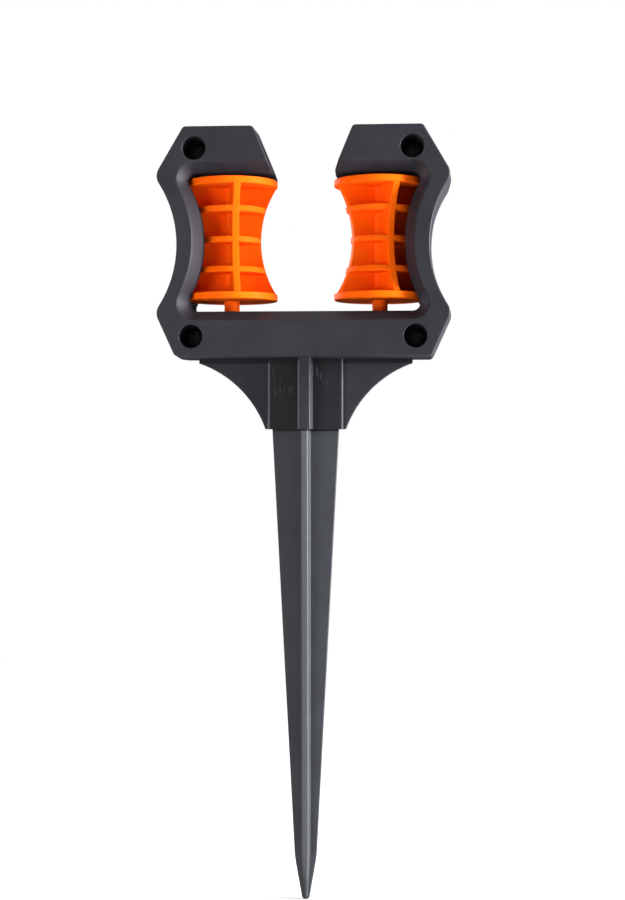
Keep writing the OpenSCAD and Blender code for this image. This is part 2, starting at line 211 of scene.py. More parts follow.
# %% Floor
FLOOR_SIZE, FLOOR_GREY, FLOOR_GLOW = 8, 0.8, 0.3
WHITE_FROM, WHITE_TO = 0.2, 0.7


def new_material(name):
    """A new material and its node tree."""
    material = bpy.data.materials.new(name)
    material.use_nodes = True
    return material, material.node_tree


def place_of(tree):
    """The place on the piece, in metres, which stays put when the piece moves."""
    return Wire(tree.nodes.new("ShaderNodeTexCoord").outputs["Object"])


floor_z = cad_box[0][2]
bpy.ops.mesh.primitive_plane_add(size=FLOOR_SIZE, location=(0, 0, floor_z))
floor = bpy.context.object
floor.name = floor.data.name = "floor"
paper, tree = new_material("pale_floor")
tree.nodes.clear()
seen = seen_directly(tree)
distance = Wire.node(
    tree, "ShaderNodeVectorMath", {"operation": "LENGTH"}, {0: place_of(tree)}, output=1,
)
grey = (FLOOR_GREY, FLOOR_GREY, FLOOR_GREY, 1)
matt = Wire.node(tree, "ShaderNodeBsdfDiffuse", None, {"Color": grey})
glow = Wire.node(tree, "ShaderNodeEmission", None, {"Strength": FLOOR_GLOW * seen})
lit = Wire.node(tree, "ShaderNodeAddShader", None, {0: matt, 1: glow})
white = Wire.node(tree, "ShaderNodeEmission", None, {"Strength": 1.0})
far = distance.rise(WHITE_FROM, WHITE_TO) * seen
mixed = Wire.node(tree, "ShaderNodeMixShader", None, {0: far, 1: lit, 2: white})
Wire.node(tree, "ShaderNodeOutputMaterial", None, {"Surface": mixed})
floor.data.materials.append(paper)
print("floor at z =", round(floor_z / MM, 1), "mm")

# %% [markdown]
# ## Patterns on a surface
# Real plastic is never one flat tone. A painted image could show its marks, but it would need an
# unwrapped surface and would blur from close by. Here every pattern is worked out from the place on
# the piece: clouds of noise, a spot round a point and a band between two values. The surface's own
# normal, in the object's axes, tells a wall from a face.

# %% Patterns
def vector_math(tree, operation, first, second, output=0):
    """A Vector Math node on two vectors."""
    settings = {"operation": operation}
    return Wire.node(tree, "ShaderNodeVectorMath", settings, {0: first, 1: second}, output)


def noise(tree, place, scale, detail=2.0, stretch=(1, 1, 1)):
    """A cloud pattern with so many waves per metre, stretched along the axes."""
    spread = vector_math(tree, "MULTIPLY", place, stretch)
    return Wire.node(
        tree, "ShaderNodeTexNoise", None, {"Vector": spread, "Scale": scale, "Detail": detail},
    )


def axis_of(tree, vector, axis):
    """One coordinate of a vector."""
    return Wire.node(tree, "ShaderNodeSeparateXYZ", None, {"Vector": vector}, output=axis)


def near(tree, place, spot, reach):
    """1 at a spot in x and z, in millimetres, at any depth, falling to 0 at the reach."""
    flat = vector_math(tree, "MULTIPLY", place, (1, 0, 1))
    apart = vector_math(tree, "DISTANCE", flat, (spot[0] * MM, 0, spot[1] * MM), output=1)
    return 1 - apart.rise(0, reach * MM)


def within(value, low, high, fade):
    """1 between two values in millimetres, falling to 0 over a fade on either side."""
    above = value.rise((low - fade) * MM, low * MM)
    return above * (1 - value.rise(high * MM, (high + fade) * MM))


def lies_along(tree, axis):
    """1 on surfaces that lie along an axis, falling to 0 on those that face it."""
    normal = Wire(tree.nodes.new("ShaderNodeTexCoord").outputs["Normal"])
    facing = axis_of(tree, normal, axis)
    return 1 - (facing * facing).rise(0, 0.3)


print("patterns:", [pattern.__name__ for pattern in (noise, near, within, lies_along)])

# %% [markdown]
# ## Marks on the head
# The head brings pale scuffs on the socket, where the spike was driven home. The rest is painted
# light: painted highlights in the hollow corners round the bay and on the left-hand edges of socket
# and rib, painted shade on the socket's front faces and a painted shadow in the strip under the bar.
# Each mark is a function that gives 1 on the mark and 0 elsewhere, so that a material can blend them
# in one after another. Places and reaches are in millimetres.

# %% Marks on the head
SCUFF_SPOTS = (((-9, 15), 7), ((5, 17), 5))
# The bay's hollow corners get painted highlights round these spots.
HIGHLIGHT_CORNER_SPOTS = [(x, z) for x in (-40.4, 40.8) for z in (41.3, 83.2)]
HIGHLIGHT_CORNER_REACH = 4.5
SOCKET_SPAN = (-1, 22, 0.6)


def scuffs(tree, place):
    """Pale upright scratches on the socket's faces."""
    scratches = noise(tree, place, 900, 4, (1, 1, 0.14)).rise(0.56, 0.7)
    return scratches * sum(near(tree, place, spot, reach) for spot, reach in SCUFF_SPOTS)


def painted_corner_highlights(tree, place):
    """Painted highlights in the hollow corners of the slope round the bay."""
    corners = sum(near(tree, place, spot, HIGHLIGHT_CORNER_REACH) for spot in HIGHLIGHT_CORNER_SPOTS)
    return corners * axis_of(tree, place, "Y").rise(-15.8 * MM, -15 * MM)


def painted_shadow_under_bar(tree, place):
    """A painted shadow in the strip under the bar, where the gussets and the socket leave it."""
    y, z = axis_of(tree, place, "Y"), axis_of(tree, place, "Z")
    return 1.5 * within(z, 21.8, 23.1, 0.5) * y.rise(-9 * MM, -6 * MM)


def painted_socket_shade(tree, place):
    """Painted shade on the socket's two flat front faces."""
    y, z = axis_of(tree, place, "Y"), axis_of(tree, place, "Z")
    return 1.3 * within(y, -3.7, -3.1, 0.5) * within(z, *SOCKET_SPAN)


def painted_edge_highlights(tree, place):
    """Painted highlights on the left-hand upright edges of socket and rib."""
    x, y, z = (axis_of(tree, place, axis) for axis in "XYZ")
    socket = within(x, -12.5, -12.1, 0.3) * within(y, -3.6, -2.9, 0.4)
    rib = within(x, -2.2, -1.8, 0.3) * within(y, -9.2, -8.4, 0.4)
    return (socket + rib) * within(z, *SOCKET_SPAN)


print("scuffed spots:", len(SCUFF_SPOTS), "pale corners:", len(HIGHLIGHT_CORNER_SPOTS))

# %% [markdown]
# ## Charcoal plastic
# Head and spike are moulded from a dark grey plastic with a soft sheen. Two patterns break up the
# flat colour: broad clouds where the melt flowed and a fine grain from the mould's skin. Then come
# each piece's marks, real ones and painted light and shade. Walls that slid along the steel as the
# mould opened are duller than the faces. One function makes the finish for both pieces, because only
# the tones and the marks differ.

# %% Charcoal plastic
MARK_STRENGTH = 0.6
RELIEF_HEIGHT = 0.1


def blend_colour(tree, amount, first, second):
    """Mixes two colours by a wire."""
    return Wire.node(
        tree, "ShaderNodeMix", {"data_type": "RGBA"}, {0: amount, 6: first, 7: second}, output=2,
    )


def relief(tree, pattern, strength):
    """Makes a pattern stand out from the surface."""
    return Wire.node(
        tree, "ShaderNodeBump", None,
        {"Strength": strength, "Distance": RELIEF_HEIGHT * MM, "Height": pattern},
    )


def charcoal_plastic(name, dark, light, *marks):
    """Dark moulded plastic between two tones, with marks, each a pattern and its colour."""
    material, tree = new_material(name)
    place = place_of(tree)
    clouds = noise(tree, place, 70, 3)
    grain = noise(tree, place, 2600, 2)
    tone = blend_colour(tree, clouds.rise(0.3, 0.7), dark, light)
    for pattern, colour in marks:
        tone = blend_colour(tree, MARK_STRENGTH * pattern(tree, place), tone, colour)
    Wire.node(tree, tree.nodes["Principled BSDF"], None, {
        "Base Color": tone,
        "Roughness": 0.33 + 0.1 * clouds + 0.06 * grain + 0.6 * lies_along(tree, "Y"),
        "Normal": relief(tree, grain, 0.12),
        "Specular IOR Level": 0.12,
    })
    return material


# Only the scuffs are real marks; the others are painted highlights in the bay's corners and on the
# left-hand edges, painted shade on the socket faces and a painted shadow under the bar.
head_plastic = charcoal_plastic(
    "head_charcoal", (0.018, 0.018, 0.0225, 1), (0.0225, 0.0225, 0.028, 1),
    (painted_corner_highlights, (0.06, 0.06, 0.068, 1)), (painted_socket_shade, (0.008, 0.008, 0.01, 1)),
    (scuffs, (0.16, 0.16, 0.18, 1)), (painted_edge_highlights, (0.13, 0.13, 0.15, 1)),
    (painted_shadow_under_bar, (0.004, 0.004, 0.005, 1)),
)
print("material:", head_plastic.name)

# %% [markdown]
# ## Orange plastic
# The rollers are a glossier, bright orange. Light that falls into a pocket bounces from orange to
# orange and comes out redder, which the renderer works out by itself, so the colour only needs faint
# flow clouds and a soft ripple from the mould. The level faces of the discs are left matt, and only
# rims and webs shine.

# %% Orange plastic
DEEP_ORANGE, BRIGHT_ORANGE = (0.94, 0.112, 0.002, 1), (0.98, 0.13, 0.003, 1)
roller_plastic, tree = new_material("roller_orange")
place = place_of(tree)
flow = noise(tree, place, 110, 3, (1, 1, 0.4))
ripple = noise(tree, place, 900, 2)
Wire.node(tree, tree.nodes["Principled BSDF"], None, {
    "Base Color": blend_colour(tree, flow.rise(0.3, 0.7), DEEP_ORANGE, BRIGHT_ORANGE),
    "Roughness": 0.44 + 0.08 * flow + 0.5 * (1 - lies_along(tree, "Z")),
    "Normal": relief(tree, ripple, 0.08),
    "Specular IOR Level": 0.03,
})
print("material:", roller_plastic.name)

# %% [markdown]
# ## A pen that draws with operators
# Most pieces start as a line: the roller's half section, the head's outline, the gusset's edge. By
# hand, one collapses a plane to a single vertex, extrudes it along the straight runs and spins it
# round each arc's centre. The pen below does just that in a plane of constant y, in millimetres, and
# rounds corners on the way. Points that lie closer than the weld distance become one.

# %% Pen
WELD = 0.001


def face_outwards():
    """Turns all faces of the mesh in edit mode outwards and leaves edit mode."""
    bpy.ops.mesh.select_all(action="SELECT")
    bpy.ops.mesh.normals_make_consistent(inside=False)
    bpy.ops.object.mode_set(mode="OBJECT")


class Pen:
    """Draws a line by extruding and spinning one vertex, with x and z in millimetres."""

    def __init__(self, x, z, y=0, name=None):
        """Starts a new piece if it is given a name, and otherwise a new line in the same mesh."""
        if name:
            bpy.ops.object.select_all(action="DESELECT")
        else:
            bpy.ops.mesh.select_all(action="DESELECT")
        bpy.ops.mesh.primitive_plane_add(size=MM, location=(0, 0, 0))
        self.piece = bpy.context.object
        if name:
            self.piece.name = self.piece.data.name = name
            bpy.ops.object.mode_set(mode="EDIT")
        bpy.ops.mesh.select_mode(type="VERT")
        bpy.ops.mesh.merge(type="CENTER")
        bpy.ops.transform.translate(value=Vector((x, y, z)) * MM)
        self.x, self.y, self.z = x, y, z

    def line_to(self, x, z):
        """Extrudes the vertex in a straight line."""
        step = Vector((x - self.x, 0, z - self.z))
        if step.length > WELD:
            bpy.ops.mesh.extrude_region_move(TRANSFORM_OT_translate={"value": step * MM})
            self.x, self.z = x, z

    def arc(self, x, z, turn, steps):
        """Spins the vertex round a centre, anticlockwise by so many degrees."""
        bpy.ops.mesh.spin(
            steps=steps, angle=radians(turn), center=Vector((x, self.y, z)) * MM, axis=(0, 1, 0),
        )
        run, rise = self.x - x, self.z - z
        c, s = cos(radians(turn)), sin(radians(turn))
        self.x, self.z = x + run * c - rise * s, z + run * s + rise * c

    def corners(self, points, steps=4):
        """Runs through corners of x, z and radius, each rounded by a spin."""
        for i, (x, z, r) in enumerate(points):
            if r == 0:
                self.line_to(x, z)
                continue
            into = Vector((x - self.x, z - self.z)).normalized()
            away = Vector((points[i + 1][0] - x, points[i + 1][1] - z)).normalized()
            turn = degrees(atan2(into.x * away.y - into.y * away.x, into.dot(away)))
            start = Vector((x, z)) - into * r * tan(radians(abs(turn) / 2))
            side = Vector((-into.y, into.x)) if turn > 0 else Vector((into.y, -into.x))
            self.line_to(*start)
            self.arc(*(start + side * r), turn, steps)

    def close(self):
        """Joins the line's ends and fills it with one face."""
        bpy.ops.mesh.select_all(action="SELECT")
        bpy.ops.mesh.remove_doubles(threshold=WELD * MM)
        bpy.ops.mesh.edge_face_add()

    def spin_round(self, steps):
        """Turns the line about the upright axis into a closed solid."""
        bpy.ops.mesh.select_all(action="SELECT")
        bpy.ops.mesh.spin(steps=steps, angle=radians(360), center=(0, 0, 0), axis=(0, 0, 1))
        bpy.ops.mesh.select_all(action="SELECT")
        bpy.ops.mesh.remove_doubles(threshold=WELD * MM)
        face_outwards()


print("pen tools:", [name for name in vars(Pen) if not name.startswith("_")])

# %% [markdown]
# ## Rounding edges
# No moulded edge is sharp. By hand, one picks edges with the mouse and presses bevel. Here each edge
# is picked by its place and gets its own weight, and one Bevel modifier then rounds them all at once,
# wide or narrow, so that rounds of different widths still meet cleanly.

# %% Rounding edges
CLOSE = 0.01


def pick(piece, kind, test):
    """Selects the edges or faces whose corners, in millimetres, pass a test. Needs edit mode."""
    bpy.ops.mesh.select_mode(type=kind)
    bpy.ops.mesh.select_all(action="DESELECT")
    shape = bmesh.from_edit_mesh(piece.data)
    elements = shape.edges if kind == "EDGE" else shape.faces
    found = [e for e in elements if test([v.co / MM for v in e.verts])]
    for element in found:
        element.select_set(True)
    bmesh.update_edit_mesh(piece.data)
    return len(found)


def make_active(piece):
    """Selects one piece and nothing else."""
    bpy.ops.object.select_all(action="DESELECT")
    piece.select_set(True)
    bpy.context.view_layer.objects.active = piece


def apply_modifier(piece, kind, **settings):
    """Adds a modifier with its settings and applies it."""
    make_active(piece)
    bpy.ops.object.modifier_add(type=kind)
    modifier = piece.modifiers[-1]
    for name, value in settings.items():
        setattr(modifier, name, value)
    bpy.ops.object.modifier_apply(modifier=modifier.name)


def round_edges(piece, rounds, segments=3):
    """Rounds edges: each pair is a width in millimetres and a test on the edge's ends."""
    make_active(piece)
    widest = max(width for width, test in rounds)
    bpy.ops.object.mode_set(mode="EDIT")
    for width, test in rounds:
        if pick(piece, "EDGE", test):
            bpy.ops.transform.edge_bevelweight(value=width / widest)
    bpy.ops.object.mode_set(mode="OBJECT")
    apply_modifier(
        piece, "BEVEL", width=widest * MM, segments=segments, limit_method="WEIGHT",
        use_clamp_overlap=False,
    )
    bpy.ops.object.mode_set(mode="EDIT")
    bpy.ops.mesh.select_all(action="SELECT")
    bpy.ops.transform.edge_bevelweight(value=-1)
    bpy.ops.mesh.remove_doubles(threshold=CLOSE * MM)
    bpy.ops.object.mode_set(mode="OBJECT")


print("edges are welded again within", CLOSE, "mm")

# %% [markdown]
# ## Joining, placing and finishing
# A Boolean modifier cuts one piece out of another or joins the two. A piece that was moved or turned
# gets its place written into its mesh, which leaves the object at the origin, where patterns and
# joints expect it. The last helper gives a piece its finish, smooths it up to an angle, lets large
# faces lead the shading, parents it to its body's empty and hides the exact solid that it replaces.

# %% Joining, placing and finishing
SMOOTH_ANGLE, FACE_WEIGHT = 32, 80


def combine(piece, other, operation):
    """Unites a piece with another, or cuts the other out of it, and removes the other."""
    apply_modifier(piece, "BOOLEAN", object=other, operation=operation, solver="EXACT")
    bpy.data.objects.remove(other)
    bpy.ops.object.mode_set(mode="EDIT")
    bpy.ops.mesh.select_all(action="SELECT")
    bpy.ops.mesh.remove_doubles(threshold=WELD * MM)
    bpy.ops.object.mode_set(mode="OBJECT")


def settle(piece):
    """Writes a piece's place, turn and scale into its mesh."""
    make_active(piece)
    bpy.ops.object.transform_apply(location=True, rotation=True, scale=True)


def copy_of(piece, name):
    """A copy with a mesh of its own."""
    make_active(piece)
    bpy.ops.object.duplicate()
    copy = bpy.context.object
    copy.name = copy.data.name = name
    return copy


def finish(piece, body, node, material):
    """Gives a piece its plastic and its shading, parents it to its body's empty and hides the exact
    solid that it replaces.
    """
    piece.data.materials.clear()
    piece.data.materials.append(material)
    make_active(piece)
    bpy.ops.object.shade_smooth_by_angle(angle=radians(SMOOTH_ANGLE))
    apply_modifier(piece, "WEIGHTED_NORMAL", keep_sharp=True, weight=FACE_WEIGHT)
    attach(piece, body)
    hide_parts(node)
    print(f"{piece.name}: {len(piece.data.polygons)} faces")


print("faces that meet at less than", SMOOTH_ANGLE, "degrees are shaded as one")

# %% [markdown]
# ## The roller's round parts
# One roller is a single moulding: two end flanges, three discs between them, a core, a lower collar
# and two journals. Stacked cylinders would leave seams. All of it is round, so its half section is
# drawn once and spun about the axis. The discs' rims lie on the hourglass curve, which is an arc
# whose centre stands outside the roller.

# %% Roller, round parts
ROLLER_MID, ROLLER_HALF = 62.85, 20.25
FLANGE_R, FLANGE_T = 15.4, 2.3
WAIST_R, HOURGLASS_R = 9.8, 33.5
DISC_T = 2.0
CORE_R, JOURNAL_R = 2.6, 2.0
COLLAR_LOW, JOURNAL_LOW, JOURNAL_HIGH = 38.7, 32.4, 90.4
RIM_ROUND, JOURNAL_ROUND, COLLAR_ROUND = 0.4, 0.4, 0.2
ROLLER_SPIN_STEPS = 96


def hourglass(z):
    """Radius of the hourglass curve at a height from the roller's middle."""
    return WAIST_R + HOURGLASS_R - sqrt(HOURGLASS_R**2 - z**2)


def disc(low, high, low_r, high_r):
    """Corners of one disc's section, from the core out and back."""
    rim = [(low_r, low, RIM_ROUND), (high_r, high, RIM_ROUND)]
    return [(CORE_R, low, 0), *rim, (CORE_R, high, 0)]


low_flange, high_flange = ROLLER_MID - ROLLER_HALF, ROLLER_MID + ROLLER_HALF
section = [
    (JOURNAL_R, JOURNAL_LOW, JOURNAL_ROUND), (JOURNAL_R, COLLAR_LOW, 0),
    (CORE_R, COLLAR_LOW, COLLAR_ROUND),
]
section += disc(low_flange, low_flange + FLANGE_T, FLANGE_R, FLANGE_R)
for offset in (-ROLLER_HALF / 2, 0, ROLLER_HALF / 2):
    low, high = offset - DISC_T / 2, offset + DISC_T / 2
    section += disc(ROLLER_MID + low, ROLLER_MID + high, hourglass(low), hourglass(high))
section += disc(high_flange - FLANGE_T, high_flange, FLANGE_R, FLANGE_R)
section += [
    (JOURNAL_R, high_flange, 0), (JOURNAL_R, JOURNAL_HIGH, JOURNAL_ROUND), (0, JOURNAL_HIGH, 0),
]

pen = Pen(0, JOURNAL_LOW, name="left_hourglass")
pen.corners(section)
pen.spin_round(ROLLER_SPIN_STEPS)
left_hourglass = pen.piece
print("roller section corners:", len(section))

# %% [markdown]
# ## The roller's webs
# Two plates cross in the roller's middle and end on the same hourglass curve, flush with the discs. A
# plate could be a scaled cube, but its curved edges would then need many cuts. Drawing its outline
# with two spins and giving it thickness is shorter, and its long edges can be rounded before it joins
# the discs.

# %% Roller, webs
WEB_T, WEB_END_R, WEB_ROUND = 2.3, 15.2, 0.3
WEB_STEPS = 28
curve_x = WAIST_R + HOURGLASS_R
web_angle = degrees(acos((curve_x - WEB_END_R) / HOURGLASS_R))
web_rise = HOURGLASS_R * sin(radians(web_angle))


def web_edge(ends):
    """A step of the web's curved edges, on either face."""
    return ends[0].y == ends[1].y and abs(ends[0].z - ends[1].z) > 0.2


def make_web(name, turn):
    """One web through the roller's axis, turned about it by so many degrees."""
    pen = Pen(WEB_END_R, ROLLER_MID - web_rise, WEB_T / 2, name)
    pen.arc(curve_x, ROLLER_MID, -2 * web_angle, WEB_STEPS)
    pen.line_to(-WEB_END_R, ROLLER_MID + web_rise)
    pen.arc(-curve_x, ROLLER_MID, -2 * web_angle, WEB_STEPS)
    pen.close()
    bpy.ops.mesh.extrude_region_move(TRANSFORM_OT_translate={"value": (0, -WEB_T * MM, 0)})
    face_outwards()
    round_edges(pen.piece, [(WEB_ROUND, web_edge)])
    pen.piece.rotation_euler.z = radians(turn)
    settle(pen.piece)
    return pen.piece


combine(left_hourglass, make_web("web_across", 0), "UNION")
combine(left_hourglass, make_web("web_along", 90), "UNION")
print("web half height:", round(web_rise, 2), "mm")
print("faces so far:", len(left_hourglass.data.polygons))

# %% [markdown]
# ## Two rollers
# Both rollers come from one mould, so the second is a copy with its own mesh. Each stands on its own
# axis and has come to rest at its own turn. A linked copy would be lighter, but the place of each
# roller has to go into its mesh, and so each needs one of its own.

# %% Two rollers
ROLLER_X = 25.0
LEFT_TURN, RIGHT_TURN = 13, 24
right_hourglass = copy_of(left_hourglass, "right_hourglass")
for roller, x, turn in (
    (left_hourglass, -ROLLER_X, LEFT_TURN), (right_hourglass, ROLLER_X, RIGHT_TURN),
):
    roller.location.x = x * MM
    roller.rotation_euler.z = radians(turn)
    settle(roller)
finish(left_hourglass, "left_roller", "left_roller", roller_plastic)
finish(right_hourglass, "right_roller", "right_roller", roller_plastic)

# %% [markdown]
# ## The head's measures
# Seen from the front, the head is a lyre: rounded ears above and below a drawn-in waist, and two jaws
# around an open mouth. Heights, radii and the centres of the round corners are set first. The waist's
# large arc follows from them, because it has to touch both ears.

# %% The head's measures
SOCKET_H, BAY_Z, JAW_Z, TOP_Z = 23.0, 38.4, 84.4, 99.799
WAIST_X, EAR_X, EAR_R = 42.3, 48.89, 5.0
EAR_LOW_DROP, EAR_HIGH_DROP = 0.8, 1.4
BOTTOM_R, TOP_R, TIP_R, BAY_R = 1.8, 2.0, 0.6, 2.5
BOTTOM_RUN, TOP_RUN = 7.3, 10.2
ARM_R, ARM_WAIST_X = 42.0, 33.6
MOUTH_HALF, MOUTH_TOP_HALF = 9.8, 16.2
EAR_LOW = Vector((EAR_X - EAR_R, BAY_Z - EAR_LOW_DROP))
EAR_HIGH = Vector((EAR_X - EAR_R, JAW_Z - EAR_HIGH_DROP))
BOTTOM = Vector((EAR_X - BOTTOM_RUN, SOCKET_H + BOTTOM_R))
TOP = Vector((EAR_X - TOP_RUN, TOP_Z - TOP_R))

ear_bulge, ear_rise = EAR_X - WAIST_X, (EAR_HIGH.y - EAR_LOW.y) / 2
waist_r = (ear_bulge**2 + ear_rise**2) / (2 * ear_bulge) - EAR_R
waist = Vector((WAIST_X + waist_r, (EAR_HIGH.y + EAR_LOW.y) / 2))
mouth_normal = Vector((JAW_Z - TOP_Z, MOUTH_TOP_HALF - MOUTH_HALF)).normalized()
print("waist radius:", round(waist_r, 2), "mm")

# %% [markdown]
# ## The head's outline
# Every run of the outline is an arc that touches its neighbours, so the outline is a list of arcs:
# centre, radius, first and last direction, and the number of steps. The bay's edge is also wanted
# further out on the front face, for the slope. Three insets give that second line with the same
# number of points, so the two can be bridged.

# %% The head's outline
def direction(v):
    """Direction of a vector in degrees, anticlockwise from +x."""
    return degrees(atan2(v.y, v.x))


def tangent(c1, r1, c2, r2):
    """Direction of the line that touches two circles on their right."""
    return direction(c2 - c1) - degrees(acos((r1 - r2) / (c2 - c1).length))


def outline_arcs(edge, bar, arm):
    """Arcs of the right half, set in by edge outside, by bar at bar and jaw and by arm at the arm."""
    low = tangent(BOTTOM, BOTTOM_R, EAR_LOW, EAR_R)
    high = tangent(EAR_HIGH, EAR_R, TOP, TOP_R)
    ear = direction(waist - EAR_LOW)
    mouth = direction(mouth_normal)
    corner_x = MOUTH_TOP_HALF - TOP_R * (1 - mouth_normal.y) / mouth_normal.x
    tip_z = JAW_Z + bar + TIP_R
    tip_run = edge + TIP_R + mouth_normal.y * (tip_z - TOP_Z)
    tip = Vector((MOUTH_TOP_HALF - tip_run / mouth_normal.x, tip_z))
    rise = (JAW_Z - BAY_Z) / 2 - BAY_R
    reach = ARM_R + BAY_R + bar - arm
    arm_middle = Vector((ARM_WAIST_X + ARM_R, (JAW_Z + BAY_Z) / 2))
    bay_x = arm_middle.x - sqrt(reach**2 - rise**2)
    turn = degrees(asin(rise / reach))
    return [
        (BOTTOM, BOTTOM_R - edge, -90, low, 6),
        (EAR_LOW, EAR_R - edge, low, ear, 10),
        (waist, waist_r + edge, 180 + ear, 180 - ear, 26),
        (EAR_HIGH, EAR_R - edge, -ear, high, 10),
        (TOP, TOP_R - edge, high, 90, 6),
        (Vector((corner_x, TOP_Z - TOP_R)), TOP_R - edge, 90, mouth, 6),
        (tip, TIP_R, mouth, 270, 8),
        (Vector((bay_x, JAW_Z - BAY_R)), BAY_R + bar, 90, -turn, 10),
        (arm_middle, ARM_R - arm, 180 - turn, 180 + turn, 26),
        (Vector((bay_x, BAY_Z + BAY_R)), BAY_R + bar, turn, -90, 10),
    ]


def draw_outline(y, edge, bar, arm, name=None):
    """Draws the right half of the outline at a depth y."""
    pen = Pen(0, SOCKET_H + edge, y, name)
    for centre, r, first, last, steps in outline_arcs(edge, bar, arm):
        pen.line_to(centre.x + r * cos(radians(first)), centre.y + r * sin(radians(first)))
        pen.arc(centre.x, centre.y, last - first, steps)
    pen.line_to(0, BAY_Z - bar)
    return pen.piece


print("arcs in half the outline:", len(outline_arcs(0, 0, 0)))

# %% [markdown]
# ## The head's front half
# The head is two shells that meet in the middle of its depth. A bevel modifier could round the front
# edge, but here the outer edge is finely rounded, the bay has a broad slope, and both meet at the
# jaws' tips. So the outline is drawn again at each depth with its own insets, and each new line is
# bridged to the last, like the ribs and planks of a boat. A quarter circle gives the outer edge, a
# straight line with a rounded end gives the slope, and the outer wall leans in a little towards the
# front, as moulded walls do.

# %% The head's front half
HALF_D, SLOPE_D = 16.0, 4.6
SLOPE_W, ARM_SLOPE_W = 3.3, 3.1
EDGE_ROUND, SLOPE_ROUND, PARTING_ROUND = 0.5, 0.9, 0.15
DRAFT = 0.5


def slope_inset(width, depth):
    """How far the slope of one width is set in at a depth behind the front face."""
    lean = atan2(SLOPE_D, width)
    run = SLOPE_ROUND * tan(lean / 2)
    if depth < run * sin(lean):
        return width + run - sqrt(SLOPE_ROUND**2 - (SLOPE_ROUND - depth) ** 2)
    return width * max(0, 1 - depth / SLOPE_D)


def lean_inset(depth):
    """How far the outer wall is set in at a depth, so that the shell slides out of its mould."""
    return DRAFT * (1 - depth / HALF_D)


def at_depth(depth):
    """A test for edges that lie at a depth behind the front face."""
    return lambda ends: all(abs(p.y + HALF_D - depth) < WELD for p in ends)


layers = [
    (HALF_D, PARTING_ROUND, PARTING_ROUND, PARTING_ROUND),
    (HALF_D - PARTING_ROUND, 0, 0, 0),
    (SLOPE_D, lean_inset(SLOPE_D), 0, 0),
]
for a in range(0, 91, 15):
    depth = EDGE_ROUND * (1 - sin(radians(a)))
    edge = EDGE_ROUND * (1 - cos(radians(a))) + lean_inset(EDGE_ROUND)
    layers.append((depth, edge, slope_inset(SLOPE_W, depth), slope_inset(ARM_SLOPE_W, depth)))

front_half = draw_outline(layers[0][0] - HALF_D, *layers[0][1:], "front_half")
for last, layer in zip(layers, layers[1:]):
    draw_outline(layer[0] - HALF_D, *layer[1:])
    pick(front_half, "EDGE", lambda ends: at_depth(last[0])(ends) or at_depth(layer[0])(ends))
    bpy.ops.mesh.bridge_edge_loops()
bpy.ops.object.mode_set(mode="OBJECT")
apply_modifier(front_half, "MIRROR", merge_threshold=WELD * MM)
bpy.ops.object.mode_set(mode="EDIT")
for depth in (0, HALF_D):
    pick(front_half, "EDGE", at_depth(depth))
    bpy.ops.mesh.edge_face_add()
face_outwards()
print("front half faces:", len(front_half.data.polygons))

# %% [markdown]
# ## The socket
# Under the bar, the shell runs down into a cross-shaped socket that grips the spike: a wide part over
# the wings and a deep one over the rib, which narrows to the front so that it leaves its mould. Two
# blocks with rounded upright edges make it. Drawing the cross as one outline would be as good, but
# only the rib narrows. A boolean can fail where faces lie on each other, so each block stands a hair
# inside the piece that it joins.

# %% The socket
SOCKET_HALF_W, SOCKET_FRONT = 12.8, 3.4
RIB_HALF_W, RIB_BACK, RIB_FRONT, RIB_FRONT_SHARE = 2.85, 1, 9.0, 0.78
SOCKET_ROUND, SOCKET_LOW_ROUND = 1.0, 0.12
SOCKET_FOOT, INTO_BAR, HAIR = -0.6, 1.1, 0.02
socket_top = SOCKET_H + INTO_BAR


def add_box(name, centre, size):
    """A plain box, in millimetres."""
    bpy.ops.object.select_all(action="DESELECT")
    bpy.ops.mesh.primitive_cube_add(size=1, location=centre * MM)
    piece = bpy.context.object
    piece.name = piece.data.name = name
    piece.scale = size * MM
    settle(piece)
    return piece


def upright(ends):
    """An edge that runs up and down."""
    return abs(ends[0].z - ends[1].z) > 1


def block(name, half_w, back, front, low, high, front_share=1):
    """A block that narrows to its front, with rounded upright and lower edges."""
    centre = Vector((0, -(back + front) / 2, (low + high) / 2))
    piece = add_box(name, centre, Vector((2 * half_w, front - back, high - low)))
    round_edges(piece, [
        (SOCKET_ROUND, lambda ends: upright(ends) and ends[0].y < centre.y),
        (PARTING_ROUND, lambda ends: upright(ends) and ends[0].y > centre.y),
    ])
    round_edges(piece, [(SOCKET_LOW_ROUND, lambda ends: (
        all(p.z < low + CLOSE for p in ends) and any(p.y < -back - CLOSE for p in ends)
    ))])
    bpy.ops.object.mode_set(mode="EDIT")
    pick(piece, "FACE", lambda corners: all(p.y < centre.y for p in corners))
    bpy.ops.transform.resize(value=(front_share, 1, 1), center_override=(0, 0, 0))
    bpy.ops.object.mode_set(mode="OBJECT")
    return piece


socket = block("socket", SOCKET_HALF_W, HAIR, SOCKET_FRONT, SOCKET_FOOT, socket_top)
combine(front_half, socket, "UNION")
rib = block(
    "rib", RIB_HALF_W, RIB_BACK, RIB_FRONT, SOCKET_FOOT + HAIR, socket_top, RIB_FRONT_SHARE,
)
combine(front_half, rib, "UNION")
print("with socket:", len(front_half.data.polygons))

# %% [markdown]
# ## Gussets
# A thin gusset with a hollow lower edge braces the socket on each side. The pen draws one of them in
# outline, an extrude gives it thickness and a mirror repeats it. Its curve is an arc through the foot
# and the end under the bar, whose centre follows from the radius. Only the edges that stay free are
# rounded, because the others vanish inside socket and bar.

